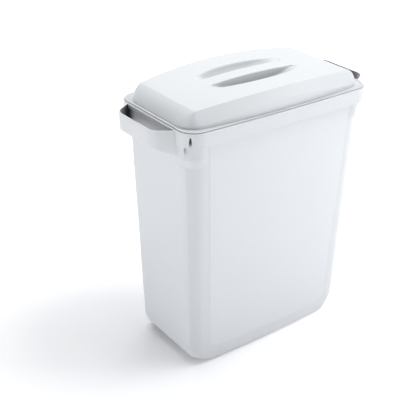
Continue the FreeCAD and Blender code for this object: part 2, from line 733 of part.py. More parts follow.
tub = build_tub()
lid = build_lid()
for item in doc.Objects:
    if "Invalid" in item.State or "Error" in item.State:
        raise RuntimeError(f"{item.Label} didn't build: {item.State}")
os.makedirs("parts", exist_ok=True)
for piece in (tub, lid):
    shape = piece.Shape
    if shape.isNull() or not shape.isValid() or len(shape.Solids) != 1:
        raise RuntimeError(f"{piece.Label} isn't one valid solid")
    shape.exportStep(f"parts/{piece.Label}.step")
    print(piece.Label, round(shape.Volume), "mm3", shape.BoundBox)
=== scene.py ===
"""Looks of the slim waste bin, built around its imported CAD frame.

Two moulded pieces: the tub with its rim, lugs, liner slits and bow handles, and the loose lid.
Shapes are worked out in millimetres in the CAD's own frame and written to meshes in metres.
"""
import math

import bmesh
import bpy
from mathutils import Matrix, Vector


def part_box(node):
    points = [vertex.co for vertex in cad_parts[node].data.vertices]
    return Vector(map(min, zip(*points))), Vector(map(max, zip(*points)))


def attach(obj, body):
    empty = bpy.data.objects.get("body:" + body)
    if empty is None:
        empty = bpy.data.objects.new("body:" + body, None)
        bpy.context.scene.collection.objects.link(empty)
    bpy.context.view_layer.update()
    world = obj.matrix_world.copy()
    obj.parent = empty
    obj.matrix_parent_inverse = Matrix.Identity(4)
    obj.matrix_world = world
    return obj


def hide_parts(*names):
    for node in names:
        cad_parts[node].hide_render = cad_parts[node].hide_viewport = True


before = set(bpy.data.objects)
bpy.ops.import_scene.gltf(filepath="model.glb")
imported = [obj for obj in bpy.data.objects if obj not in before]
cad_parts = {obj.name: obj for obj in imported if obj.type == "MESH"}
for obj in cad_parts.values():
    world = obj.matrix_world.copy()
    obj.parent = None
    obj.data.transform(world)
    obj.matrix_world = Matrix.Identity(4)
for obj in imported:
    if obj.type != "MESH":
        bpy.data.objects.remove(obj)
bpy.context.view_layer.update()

MM = 0.001
QUARTER = math.pi / 2


def millimetres(corner):
    """One corner of a frame box, in millimetres."""
    return [round(value / MM, 3) for value in corner]


BAND_REACH, RIM_HALF_WIDTH, RIM_TOP = millimetres(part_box("tub")[1])
FLANGE_HALF_LENGTH, FLANGE_HALF_WIDTH, LID_TOP = millimetres(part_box("lid")[1])
COLLAR_LOW = round(millimetres(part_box("lid")[0])[2] - RIM_TOP, 3)

UNGRAINED = 4.0  # "texture_edge" of a point that is well clear of the grained panels
INNER_CORNER = 0.8  # share of a wall's thickness by which its inner corners are tighter


# ---------------------------------------------------------------- shapes


def clamp(value, low=0.0, high=1.0):
    """The value, kept between two limits."""
    return max(low, min(high, value))


def smooth(value):
    """A smooth step from 0 to 1."""
    value = clamp(value)
    return value * value * (3 - 2 * value)


def mix(a, b, share):
    """A value part of the way from a to b."""
    return a + (b - a) * share


def spread(start, end, count):
    """Evenly spaced values from start, without end."""
    return [mix(start, end, index / count) for index in range(count)]


class Outline:
    """One quadrant of a rounded rectangle whose long sides bulge on a large radius."""

    def __init__(self, half_length, half_width, corner, sweep):
        self.end = half_length
        self.corner = corner
        self.sweep = sweep
        self.side_y = half_width - sweep
        self.corner_x = half_length - corner
        self.corner_y = self.side_y + math.sqrt((sweep - corner) ** 2 - self.corner_x ** 2)
        self.lean = math.asin(self.corner_x / (sweep - corner))
        self.turn = QUARTER - self.lean
        self.join_x = self.corner_x + corner * math.sin(self.lean)
        self.side_start = self.corner_y + corner * self.turn
        self.length = self.side_start + sweep * self.lean

    def run_to_angle(self, angle):
        """Distance along the quadrant, from the middle of the end, to a turn of the corner."""
        return self.corner_y + self.corner * angle

    def run_to_x(self, x):
        """Distance along the quadrant to a place on the long side."""
        return self.length - self.sweep * math.asin(x / self.sweep)

    def run_to_y(self, y):
        """Distance along the quadrant to a place near the end's own straight."""
        if y <= self.corner_y:
            return y
        return self.run_to_angle(math.asin((y - self.corner_y) / self.corner))

    def at(self, run):
        """Point and outward normal at a distance along the quadrant."""
        if run <= self.corner_y:
            return Vector((self.end, run)), Vector((1, 0))
        if run <= self.side_start:
            angle = (run - self.corner_y) / self.corner
            normal = Vector((math.cos(angle), math.sin(angle)))
            return Vector((self.corner_x, self.corner_y)) + normal * self.corner, normal
        angle = QUARTER - (self.length - run) / self.sweep
        normal = Vector((math.cos(angle), math.sin(angle)))
        return Vector((0, self.side_y)) + normal * self.sweep, normal

    def place(self, kind, share):
        """Point at a share of the end, of the corner or of the long side."""
        if kind == "end":
            return self.at(share * self.corner_y)[0]
        if kind == "corner":
            return self.at(self.run_to_angle(share * self.turn))[0]
        x = share * self.join_x
        return Vector((x, self.side_y + math.sqrt(self.sweep ** 2 - x ** 2)))

    def side_at(self, x):
        """Reach in Y at a place along X, round the corner too."""
        if x <= self.join_x:
            return self.side_y + math.sqrt(self.sweep ** 2 - x ** 2)
        return self.corner_y + math.sqrt(max(self.corner ** 2 - (x - self.corner_x) ** 2, 0))


class Skin:
    """Points and faces of one mesh, in millimetres, with the grain marks and painted shade marks that its
    shader reads.
    """

    def __init__(self):
        self.points = []
        self.faces = []
        self.texture = []
        self.shade = []

    def add(self, point, texture=UNGRAINED, shade=0.0):
        """One more point; the result is its index."""
        self.points.append(point)
        self.texture.append(texture)
        self.shade.append(shade)
        return len(self.points) - 1

    def ring(self, quadrant):
        """A closed ring from one quadrant's (x, y, z, texture, shade), mirrored in X and in Y."""
        last = len(quadrant) - 1
        order = [(1, 1, i) for i in range(last)]
        order += [(-1, 1, i) for i in range(last, 0, -1)]
        order += [(-1, -1, i) for i in range(last)]
        order += [(1, -1, i) for i in range(last, 0, -1)]
        ring = []
        for sign_x, sign_y, index in order:
            x, y, z, texture, shade = quadrant[index]
            ring.append(self.add((sign_x * x, sign_y * y, z), texture, shade))
        return ring

    def bridge(self, low, high, skip=()):
        """Quads between two closed rings, leaving out some columns."""
        count = len(low)
        for i in range(count):
            if i not in skip:
                j = (i + 1) % count
                self.faces.append((low[i], low[j], high[j], high[i]))

    def strip(self, low, high):
        """Quads between two open rows."""
        for i in range(len(low) - 1):
            self.faces.append((low[i], low[i + 1], high[i + 1], high[i]))

    def build(self, name, sharp_above=40.0):
        """The finished object: one closed, smooth-shaded mesh, sharp where its faces turn far."""
        mesh = bpy.data.meshes.new(name)
        mesh.from_pydata([Vector(p) * MM for p in self.points], [], self.faces)
        for label, values in (("texture_edge", self.texture), ("shade", self.shade)):
            mesh.attributes.new(label, "FLOAT", "POINT").data.foreach_set("value", values)
        body = bmesh.new()
        body.from_mesh(mesh)
        bmesh.ops.remove_doubles(body, verts=body.verts, dist=1e-6)
        bmesh.ops.recalc_face_normals(body, faces=body.faces)
        for edge in body.edges:
            if len(edge.link_faces) == 2 and edge.calc_face_angle() > math.radians(sharp_above):
                edge.smooth = False
        for face in body.faces:
            face.smooth = True
        body.to_mesh(mesh)
        body.free()
        item = bpy.data.objects.new(name, mesh)
        bpy.context.scene.collection.objects.link(item)
        return item


# ---------------------------------------------------------------- tub

WALL = 2.6
FOOT_HALF_LENGTH, FOOT_HALF_WIDTH, FOOT_CORNER = 224.0, 112.9, 32.0
MOUTH_HALF_LENGTH, MOUTH_HALF_WIDTH, MOUTH_CORNER = 244.8, 133.2, 42.0
WALL_SWEEP = 3800.0
END_ROUND = 52.0
SIDE_ROUND = 10.0
SOLE_MARGIN = 14.0
SOLE_RECESS = 1.0
RIM_HALF_LENGTH = 254.0
RIM_CORNER = 43.0
RIM_SWEEP = 7500.0
RIM_SKIRT = 2.6
UNDER_RIM = RIM_TOP - 3.0
SKIRT_LOW = RIM_TOP - 30.5
SLIT_TOP = SKIRT_LOW + 23.0
SLIT_MOUTH_HALF, SLIT_TOP_HALF = 4.25, 1.8
SLIT_COLUMN = 24
LUG_LOW = SKIRT_LOW - 51.5
LUG_FULL = LUG_LOW + 19.0
LUG_PROUD = 4.0
LUG_EDGE = 80.0
PANEL_PROUD = 0.45
PANEL_LOW = 40.0
PANEL_CORNER = 21.0
PANEL_X_FOOT, PANEL_X_TOP = 172.8, 194.5
PANEL_TURN_FOOT, PANEL_TURN_TOP = 37.0, 28.2
SLOT_HALF_WIDTH = 91.0
UNDER_SKIRT_SHADE = 0.8


def wall_outline(z, inside=0.0):
    """The wall's outline at a height, outside or a thickness in, with the base's rounding."""
    rise = z / RIM_TOP
    ends, sides = inside, inside
    if z < END_ROUND:
        ends = END_ROUND - math.sqrt(max((END_ROUND - inside) ** 2 - (END_ROUND - z) ** 2, 0))
    if z < SIDE_ROUND:
        sides = SIDE_ROUND - math.sqrt(max((SIDE_ROUND - inside) ** 2 - (SIDE_ROUND - z) ** 2, 0))
    return Outline(mix(FOOT_HALF_LENGTH, MOUTH_HALF_LENGTH, rise) - ends,
                   mix(FOOT_HALF_WIDTH, MOUTH_HALF_WIDTH, rise) - sides,
                   mix(FOOT_CORNER, MOUTH_CORNER, rise) - INNER_CORNER * inside, WALL_SWEEP)


RIM = Outline(RIM_HALF_LENGTH, RIM_HALF_WIDTH, RIM_CORNER, RIM_SWEEP)


def panel_x(z):
    """Half-width of the fine-grained panel on the long sides."""
    return mix(PANEL_X_FOOT, PANEL_X_TOP, min(z, SKIRT_LOW) / SKIRT_LOW)


def panel_turn(z):
    """How far round the corner the fine-grained panel of the short end reaches."""
    return math.radians(mix(PANEL_TURN_FOOT, PANEL_TURN_TOP, min(z, SKIRT_LOW) / SKIRT_LOW))


def slit_half(z):
    """Half-width of the liner slit at a height of the skirt."""
    return mix(SLIT_MOUTH_HALF, SLIT_TOP_HALF, clamp((z - SKIRT_LOW) / (SLIT_TOP - SKIRT_LOW)))


def panel_side(outline, z):
    """Distance along the quadrant to the upright edge of the long side's panel."""
    return outline.run_to_x(min(panel_x(z), outline.join_x - 2))


def tub_runs(outline, z, slit=None):
    """Places of the mesh's columns along a quadrant: they follow lugs, panels and liner slits."""
    lug = outline.run_to_y(LUG_EDGE)
    turned = outline.run_to_angle(panel_turn(z))
    side = panel_side(outline, z)
    runs = spread(0, lug - 8, 6) + [lug - 8, lug - 2, lug - 0.5, lug, lug + 0.5]
    runs += spread(lug + 2.5, turned - 0.6, 6) + [turned - 0.6, turned, turned + 0.6]
    if slit is None:
        runs += spread(turned + 2.5, side - 2, 19)
    else:
        middle = outline.run_to_angle(QUARTER / 2)
        runs += spread(turned + 2.5, middle - slit, 4) + [middle - slit, middle, middle + slit]
        runs += spread(middle + slit + 1.5, side - 2, 12)
    runs += [side - 2, side - 0.6, side, side + 0.6]
    runs += spread(side + 1.8, side + 26, 16) + spread(side + 26, outline.length, 12)
    return runs + [outline.length]


def texture_edge(outline, run, x, z):
    """Distance to the edge of the fine-grained panel in millimetres, negative inside it."""
    if run < outline.run_to_angle(QUARTER / 2):
        notch = min(run - outline.run_to_y(LUG_EDGE), z - LUG_LOW)
        return max(run - outline.run_to_angle(panel_turn(z)), notch)
    across = x - panel_x(z) + PANEL_CORNER
    below = PANEL_LOW - z + PANEL_CORNER
    outside = math.hypot(max(across, 0), max(below, 0))
    return outside + min(max(across, below), 0) - PANEL_CORNER


def lug_rise(outline, run, z):
    """How proud the stacking lug stands at a point of the wall; it fades out behind the skirt."""
    if z < LUG_LOW or z > SKIRT_LOW + 12:
        return 0.0
    from_end = smooth((run - outline.run_to_y(LUG_EDGE)) + 0.5)
    from_side = smooth((panel_side(outline, z) - run) / (0.6 * outline.corner))
    fade = 1 - clamp((z - SKIRT_LOW - 4) / 8)
    return LUG_PROUD * from_end * from_side * clamp((z - LUG_LOW) / (LUG_FULL - LUG_LOW)) * fade


def wall_row(z):
    """One quadrant of the outer wall at a height, with its panels and lugs standing proud."""
    outline = wall_outline(z)
    row = []
    for run in tub_runs(outline, z):
        point, normal = outline.at(run)
        edge = texture_edge(outline, run, point.x, z)
        point += normal * (PANEL_PROUD * smooth(0.5 - edge / 1.2) + lug_rise(outline, run, z))
        # painted shade on the wall behind the skirt, seen through the liner slits
        shade = UNDER_SKIRT_SHADE * smooth((z - SKIRT_LOW - 2) / 4)
        row.append((point.x, point.y, z, clamp(edge, -6, 6), shade))
    return row


def plain_row(outline, z, inset=0.0, slit=None, slot_shaded=False):
    """One quadrant of a row without panels, moved in from its outline."""
    row = []
    for run in tub_runs(outline, z, slit):
        point, normal = outline.at(run)
        point -= normal * inset
        # painted shade on the skirt's face inside a handle's opening
        painted_shade = slot_painted_shade(point.y, z) if slot_shaded and point.x > RIM_HALF_LENGTH - 4 else 0.0
        row.append((point.x, point.y, z, UNGRAINED, painted_shade))
    return row


def slot_painted_shade(y, z):
    """How much shade is painted on the back of a handle's opening: deepest low down and at its two ends."""
    if y > SLOT_HALF_WIDTH:
        return 0.0
    return mix(0.2, 0.95, smooth((y - 58) / 26)) * smooth((RIM_TOP - 2 - z) / 10)


def round_over(radius, steps):
    """Inset and drop along a rounded edge, from the upright face to the level one."""
    turns = [QUARTER * step / steps for step in range(steps + 1)]
    return [(radius * (1 - math.cos(turn)), radius * (1 - math.sin(turn))) for turn in turns]


def wall_heights():
    """Heights of the outer wall's rows, closer at the roundings, panel edges and lugs."""
    heights = [END_ROUND * (1 - math.cos(QUARTER * step / 14)) for step in range(15)]
    heights += [SIDE_ROUND * (1 - math.cos(QUARTER * step / 6)) for step in range(7)]
    heights += [PANEL_LOW + step for step in (-0.6, 0, 0.6)]
    heights += [PANEL_LOW + 1.8 + 1.5 * step for step in range(14)]
    heights += [70, 85, 105, 130, 160, 195, 235, 280, 325, 370, 415, 455, 485, 505]
    heights += [LUG_LOW + step for step in (-3, -0.5, 0, 0.5, 2, 5, 8, 11, 14, 17, 19, 21, 30)]
    heights += [SKIRT_LOW + step for step in (-8, 0, 4, 8, 12, 19, 24)]
    kept = []
    for height in sorted(heights):
        if not kept or height - kept[-1] > 0.3:
            kept.append(height)
    return kept


def slit_starts(count):
    """First column of each of the four slits in a closed ring."""
    last = count // 4
    return (SLIT_COLUMN, 2 * last - SLIT_COLUMN - 2, 2 * last + SLIT_COLUMN, 4 * last - SLIT_COLUMN - 2)


def add_tub_shell(skin):
    """Walls, base, rim and skirt of the tub as one closed shell."""
    sole = wall_outline(0.0)
    sole_step = ((SOLE_MARGIN, SOLE_RECESS), (SOLE_MARGIN - 0.7, 0.1), (SOLE_MARGIN - 1.3, 0.0))
    rows = [skin.ring(plain_row(sole, z, inset)) for inset, z in sole_step]
    skin.faces.append(tuple(rows[0]))
    rows += [skin.ring(wall_row(z)) for z in wall_heights()]
    rows.append(skin.ring(plain_row(wall_outline(UNDER_RIM - 1), UNDER_RIM - 1)))
    rows.append(skin.ring(plain_row(wall_outline(UNDER_RIM), UNDER_RIM, -1.2)))

    edge = 0.6
    inner = [skin.ring(plain_row(RIM, SKIRT_LOW, RIM_SKIRT - edge, slit_half(SKIRT_LOW)))]
    outer = [skin.ring(plain_row(RIM, SKIRT_LOW, edge, slit_half(SKIRT_LOW), True))]
    for z in [mix(SKIRT_LOW + edge, SLIT_TOP, step / 6) for step in range(7)]:
        inner.append(skin.ring(plain_row(RIM, z, RIM_SKIRT, slit_half(z))))
        outer.append(skin.ring(plain_row(RIM, z, 0.0, slit_half(z), True)))
    rows.append(skin.ring(plain_row(RIM, UNDER_RIM, RIM_SKIRT + 1, SLIT_TOP_HALF)))
    rows.append(skin.ring(plain_row(RIM, UNDER_RIM - 1, RIM_SKIRT, SLIT_TOP_HALF)))
    rows.append(inner[-1])
    for low, high in zip(rows, rows[1:]):
        skin.bridge(low, high)

    starts = slit_starts(len(inner[0]))
    cut = {start + step for start in starts for step in (0, 1)}
    for group in (inner, outer):
        for low, high in zip(group, group[1:]):
            skin.bridge(low, high, cut)
    skin.bridge(inner[0], outer[0], cut)
    for start in starts:
        for column in (start, start + 2):
            skin.strip([row[column] for row in inner], [row[column] for row in outer])
        skin.strip(inner[-1][start:start + 3], outer[-1][start:start + 3])

    top = [outer[-1]]
    for inset, drop in round_over(1.3, 4):
        top.append(skin.ring(plain_row(RIM, RIM_TOP - drop, inset, SLIT_TOP_HALF, drop > 1)))
    mouth = wall_outline(RIM_TOP, WALL)
    for inset, drop in round_over(1.2, 3)[::-1]:
        top.append(skin.ring(plain_row(mouth, RIM_TOP - drop, inset - 1.2)))
    inside = [RIM_TOP - 14, 560, 500, 430, 350, 270, 190, 120, 80, 62, 52, 44, 36, 29, 23, 18, 14, 11]
    inside += [8.5, 6.5, 5, 4, 3.2, WALL + 0.15, WALL]
    top += [skin.ring(plain_row(wall_outline(z, WALL), z)) for z in inside]
    for low, high in zip(top, top[1:]):
        skin.bridge(low, high)
    skin.faces.append(tuple(top[-1]))


BAND_HEIGHT = 39.3
BAND_THICK = 3.0
BAND_CORNER = 31.0
BAND_STRAIGHT = 49.0
BAND_TURN = math.radians(57.8)
BAND_SINK = 0.04  # the handle's upper edge lies this far under the rim's, so that they don't coincide
BAND_STATIONS = (272.0, 267.0, 262.0, 258.0, 255.5, 253.2)
ROOT_FACE = 252.4
ROOT_SECTIONS = ((249.8, 2.8, 248.5, -5), (248.2, 7, 246.5, -7.5), (246.0, 17, 245.0, -9))
GUSSET_START, GUSSET_END, GUSSET_SLOPE = 291.0, 251.0, 0.4


def band_stations():
    """Half of a handle's line from its middle to its root: outer point, inner point and top."""
    centre = Vector((BAND_REACH - BAND_CORNER, BAND_STRAIGHT))
    marks = [(Vector((BAND_REACH, y)), Vector((1, 0))) for y in spread(0, BAND_STRAIGHT, 5)]
    for step in range(11):
        normal = Vector((math.cos(BAND_TURN * step / 10), math.sin(BAND_TURN * step / 10)))
        marks.append((centre + normal * BAND_CORNER, normal))
    start, normal = marks[-1]
    along = Vector((-normal.y, normal.x))
    for x in BAND_STATIONS:
        marks.append((start + along * ((start.x - x) / normal.y), normal))
    stations = [(point, point - normal * BAND_THICK, RIM_TOP) for point, normal in marks]
    outer = start + along * ((start.x - ROOT_FACE) / normal.y)
    low = SKIRT_LOW + 1.5
    stations.append((outer, outer - normal * BAND_THICK, low))
    for out_x, out_y, in_x, in_y in ROOT_SECTIONS:
        stations.append((Vector((out_x, outer.y + out_y)), Vector((in_x, outer.y + in_y)), low))
    return stations


def band_bottom(x):
    """Height of a handle's lower edge: the gusset drops towards the tub, and its root rises again."""
    gusset = GUSSET_SLOPE * max(GUSSET_START - max(x, GUSSET_END), 0)
    return RIM_TOP - BAND_HEIGHT - gusset + 1.2 * max(GUSSET_END - x, 0)


def band_painted_shade(y):
    """How much shade is painted on the inner face of a handle: along its grip, and most in the pockets at
    its roots.
    """
    grip_shade = mix(0.8, 0.4, smooth((abs(y) - 44) / 16))
    return mix(grip_shade, 0.93, smooth((abs(y) - 64) / 24))


def add_band(skin, side):
    """One bow handle: a closed strap from lug to lug round the short end."""
    half = band_stations()
    mirrored = [(Vector((o.x, -o.y)), Vector((i.x, -i.y)), top) for o, i, top in half[:0:-1]]
    edge = round_over(1.1, 3)
    sections = []
    for outer, inner, top in mirrored + half:
        thick = (inner - outer).length
        inward = (inner - outer).normalized()
        low = band_bottom(outer.x)
        # painted shade on the handle's inner face
        painted_shade = band_painted_shade(outer.y)
        section = [(depth, top - drop - BAND_SINK, 0.0) for depth, drop in edge]
        section += [(thick - depth, top - drop - BAND_SINK, 0.0) for depth, drop in edge[:0:-1]]
        section += [(thick, z, painted_shade) for z in (top - 1.2, mix(top, low, 0.5), low + 2.4)]
        section += [(thick - depth, low + drop, 0.0) for depth, drop in edge]
        section += [(depth, low + drop, 0.0) for depth, drop in edge[::-1]]
        section += [(0.0, mix(top, low, 0.66), 0.0), (0.0, mix(top, low, 0.33), 0.0)]
        ring = []
        for depth, z, dark in section:
            place = outer + inward * depth
            ring.append(skin.add((side * place.x, place.y, z), UNGRAINED, dark))
        sections.append(ring)
    for low, high in zip(sections, sections[1:]):
        skin.bridge(low, high)
    skin.faces.append(tuple(sections[0]))
    skin.faces.append(tuple(sections[-1]))


def build_tub():
    """The tub: its shell and a bow handle at each short end."""
    skin = Skin()
    add_tub_shell(skin)
    for side in (1, -1):
        add_band(skin, side)
    return skin.build("tub_shell")


# ---------------------------------------------------------------- lid

LID_WALL = 2.5
LID_RISE = 3.0
# (inset, height, shade) of the flange's rings; the shade is painted shade in the groove inside the lip and
# under the outer edge, where it meets the rim
FLANGE_SECTION = ((5.4, 1.0, 0.16), (3.0, 1.1, 0.12), (2.2, 2.9, 0), (1.6, 3.0, 0), (0.6, 3.0, 0),
                  (0.1, 2.7, 0), (0.0, 2.2, 0), (0.0, 1.4, 0), (3.0, 1.2, 0.6), (3.4, 0.0, 0.6))
COLLAR_SECTION = ((1.6, -COLLAR_LOW), (2.3, 0.8), (2.7, 0.1), (3.2, 0.0),
                  (4.5, 0.0), (5.0, 0.2), (5.2, 1.0), (4.5, -COLLAR_LOW))
CROWN_HALF_LENGTH = 241.5
SHOULDER_HALF_LENGTH = 213.5
SHOULDER = 34.8
END_BULGE = 12.0
END_CLIMB = 42.37
END_EASE = 10.57
FACET_HALF_WIDTH, FACET_LEAN = 137.6, 0.4
FACET_CORNER, FACET_TOP_CORNER = 53.0, 3.0
FACET_SWEEP, FACET_SWEEP_LOSS = 1427.0, 10.6
FLANK_HALF_LENGTH = 243.0
FLANK_HALF_WIDTH, FLANK_LEAN = 130.3, 0.086
FLANK_CORNER = 48.0
FLANK_SWEEP = 2013.0
ARCH_TOP = round(LID_TOP - RIM_TOP, 3)
ARCH_RADIUS = 1759.6
RIDGE_HALF_WIDTH = 18.0
POCKET_HALF_WIDTH = 60.0
POCKET_SWEEP = 350.0
POCKET_TIP = 116.0
TIP_RADIUS = 9.0
TIP_CENTRE = POCKET_TIP - TIP_RADIUS
TIP_FAR_START, TIP_FAR_CENTRE = 109.8, 33.8
POCKET_SECTION = ((0, 0), (.012, .10), (.03, .60), (.055, .93), (.10, 1), (.20, .97), (.36, .86),
                  (.54, .72), (.70, .58), (.82, .46), (.90, .34), (.96, .14), (1, 0))
POCKET_FLOOR = ((0, 20.8), (30, 20.8), (68, 29), (114, 42.6))
TOP_COLUMNS = (0, 10, 20, 30, 40, 50, 60, 68, 76, 84, 92, 99, 104, 107, 110, 112.5, 114.3, 115.5, 116,
               121, 130, 142, 155, 168, 181, 193, 202)
CORNER_STEPS = 10
POCKET_SHADE = 0.26


def arch(x):
    """Height of the domed top above the rim, the same across the whole width."""
    return ARCH_TOP - ARCH_RADIUS + math.sqrt(ARCH_RADIUS ** 2 - x ** 2)


def crown_reach(h):
    """Reach of the bulging end at a height above the rim: a parabola from foot to shoulder."""
    left = END_CLIMB ** 2 - 4 * END_EASE * (h - LID_RISE)
    t = clamp((END_CLIMB - math.sqrt(max(left, 0))) / (2 * END_EASE))
    return mix(CROWN_HALF_LENGTH, SHOULDER_HALF_LENGTH, t) + END_BULGE * t * (1 - t)


def facet(h, inset=0.0):
    """Outline of the sloping facets of the crown at a height."""
    corner = mix(FACET_CORNER, FACET_TOP_CORNER, min(h / SHOULDER, 1)) - INNER_CORNER * inset
    return Outline(crown_reach(h) - inset, FACET_HALF_WIDTH - FACET_LEAN * h - inset,
                   max(corner, 0.6), FACET_SWEEP - FACET_SWEEP_LOSS * h)


def flank(h, inset=0.0):
    """Outline of the steeper band below the facets."""
    lean = FLANK_LEAN * h + inset
    return Outline(FLANK_HALF_LENGTH - inset, FLANK_HALF_WIDTH - lean, FLANK_CORNER - lean, FLANK_SWEEP)


def flank_side(x, h, inset):
    """Reach in Y of the steeper band at a place along X."""
    return flank(h, inset).side_at(min(x, FLANK_HALF_LENGTH - 0.1 - inset))


def crown_point(kind, share, h, inset=0.0):
    """Point of the crown at a height: on the facet, or on the steeper band where that lies further in."""
    point = facet(h, inset).place(kind, share)
    if kind != "end":
        point.y = min(point.y, flank_side(point.x, h, inset))
    return point


def crown_heights(kind, share, inset=0.0):
    """Heights of the crease between flank and facet, and of the edge of the top, on a column."""
    top = SHOULDER - inset
    for _ in range(4):
        top = arch(facet(top, inset).place(kind, share).x) - inset
    low, high = 5.5, top - 2
    if kind == "end":
        return low, top
    for _ in range(24):
        middle = (low + high) / 2
        point = facet(middle, inset).place(kind, share)
        if point.y > flank_side(point.x, middle, inset):
            low = middle
        else:
            high = middle
    return low, top


def pocket_edges(x, grown=0.0):
    """Near and far edge of the finger pocket at a place along the lid."""
    tip = math.sqrt(max((TIP_RADIUS + grown) ** 2 - (x - TIP_CENTRE) ** 2, 0))
    near = RIDGE_HALF_WIDTH - grown
    if x > TIP_CENTRE:
        near = RIDGE_HALF_WIDTH + TIP_RADIUS - tip
    far = POCKET_HALF_WIDTH - POCKET_SWEEP + math.sqrt((POCKET_SWEEP + grown) ** 2 - x ** 2)
    if x > TIP_FAR_START:
        far = min(far, TIP_FAR_CENTRE + tip)
    return near, far


def pocket_floor(x):
    """Height of the pocket's floor above the rim: level in the middle, rising to meet the top."""
    for (x0, h0), (x1, h1) in zip(POCKET_FLOOR, POCKET_FLOOR[1:]):
        if x <= x1:
            return mix(h0, h1, (x - x0) / (x1 - x0))
    return mix(h1, arch(POCKET_TIP), clamp((x - x1) / (POCKET_TIP - x1)))


def top_rows(x, edge, grown=0.0):
    """Places in Y and depth shares of the top's rows at one column."""
    if x <= POCKET_TIP:
        near, far = pocket_edges(x, grown)
        deep = 1.0
    else:
        near_tip, far_tip = pocket_edges(POCKET_TIP, grown)
        away = smooth((x - POCKET_TIP) / 60)
        near, far, deep = mix(near_tip, 0.18 * edge, away), mix(far_tip, 0.73 * edge, away), 0.0
    rows = [(y, 0.0) for y in spread(0, near - 0.7, 4)] + [(near - 0.7, 0.0)]
    rows += [(mix(near, far, share), depth * deep) for share, depth in POCKET_SECTION]
    rows += [(mix(far + 0.7, edge - 1.0, step / 5), 0.0) for step in range(6)]
    return rows


def top_height(x, depth):
    """Height of the top above the rim where the pocket has a share of its full depth."""
    level = arch(x)
    return level - depth * max(level - pocket_floor(x), 0)


def lid_columns():
    """Kinds and shares of the lid's columns along a quadrant, matching the grid of the top."""
    outline = facet(SHOULDER)
    across = [y for y, _ in top_rows(outline.end, outline.corner_y + 1.0)]
    columns = [("end", y / across[-1]) for y in across[:-1]]
    columns += [("corner", step / CORNER_STEPS) for step in range(CORNER_STEPS + 1)]
    return columns + [("side", x / outline.join_x) for x in TOP_COLUMNS[::-1]]


def add_top(skin, ring, inset=0.0):
    """The domed top with its finger pockets, filling the crown's upper ring."""
    last = len(ring) // 4
    corner_start = last - len(TOP_COLUMNS) - CORNER_STEPS
    shared = {}

    def on_ring(sign_x, sign_y, index):
        """Point of the border ring at a column of one quadrant."""
        if sign_x > 0:
            return ring[index] if sign_y > 0 else ring[(4 * last - index) % len(ring)]
        return ring[2 * last - sign_y * index]

    def vertex(x, y, h, shade):
        """Point of the top, shared by the quadrants that meet at it."""
        key = (round(x, 4), round(y, 4))
        if key not in shared:
            shared[key] = skin.add((x, y, RIM_TOP + h), UNGRAINED, shade)
        return shared[key]

    for sign_x, sign_y in ((1, 1), (-1, 1), (-1, -1), (1, -1)):
        columns = []
        for index in range(last, corner_start + CORNER_STEPS - 1, -1):
            border = on_ring(sign_x, sign_y, index)
            x, edge = abs(skin.points[border][0]), abs(skin.points[border][1])
            # painted shade in the finger pockets, on the top's upper side only
            pocket_painted_shade = 0.0 if inset else POCKET_SHADE * smooth((112 - x) / 30)
            column = []
            for y, depth in top_rows(x, edge, inset):
                h = top_height(x, depth) - inset
                column.append(vertex(sign_x * x, sign_y * y, h, pocket_painted_shade * min(2 * depth, 1)))
            columns.append(column + [border])
        for left, right in zip(columns, columns[1:]):
            skin.strip(left, right)
        skin.strip(columns[-1][:-1], [on_ring(sign_x, sign_y, index) for index in range(corner_start + 1)])
        corner = [on_ring(sign_x, sign_y, corner_start + step) for step in range(CORNER_STEPS + 1)]
        skin.faces.append(tuple([columns[-1][-2]] + corner))


def crown_levels(foot, low, top):
    """Heights of one column's points, closer at the crease that lies at the height low."""
    levels = [foot, mix(LID_RISE, low, 0.5), low - 0.8, low, low + 0.8]
    levels += [mix(low + 0.8, top - 0.8, part / 6) for part in range(1, 7)]
    return levels + [top]


def crown_rings(skin, columns, foot, inset=0.0):
    """The crown's rings from its foot to the edge of its top."""
    stacks = [crown_levels(foot, *crown_heights(kind, share, inset)) for kind, share in columns]
    rings = []
    for level in range(len(stacks[0])):
        row = []
        for (kind, share), stack in zip(columns, stacks):
            h = stack[level]
            point = crown_point(kind, share, h, inset)
            row.append((point.x, point.y, RIM_TOP + h, UNGRAINED, 0.0))
        rings.append(skin.ring(row))
    return rings


def border_ring(skin, columns, outline, inset, h, shade=0.0):
    """A level ring of the lid's flange or collar, moved in from its outline."""
    moved = Outline(outline.end - inset, outline.side_y + outline.sweep - inset,
                    outline.corner - inset, outline.sweep)
    row = [(*moved.place(kind, share), RIM_TOP + h, UNGRAINED, shade) for kind, share in columns]
    return skin.ring(row)


def build_lid():
    """The lid as one closed shell: domed crown, flange and the collar that drops into the tub."""
    skin = Skin()
    columns = lid_columns()
    rings = crown_rings(skin, columns, 1.0)[::-1]
    add_top(skin, rings[0])
    gap = RIM_HALF_LENGTH - FLANGE_HALF_LENGTH
    flange = Outline(FLANGE_HALF_LENGTH, FLANGE_HALF_WIDTH, RIM_CORNER - gap, RIM_SWEEP)
    for inset, h, shade in FLANGE_SECTION:
        rings.append(border_ring(skin, columns, flange, inset, h, shade))
    mouth = wall_outline(RIM_TOP, WALL)
    for inset, above in COLLAR_SECTION:
        rings.append(border_ring(skin, columns, mouth, inset, COLLAR_LOW + above))
    under = crown_rings(skin, columns, LID_RISE, LID_WALL)
    rings += under
    for low, high in zip(rings, rings[1:]):
        skin.bridge(low, high)
    add_top(skin, under[-1], LID_WALL)
    return skin.build("lid_shell", sharp_above=75)


# ---------------------------------------------------------------- materials


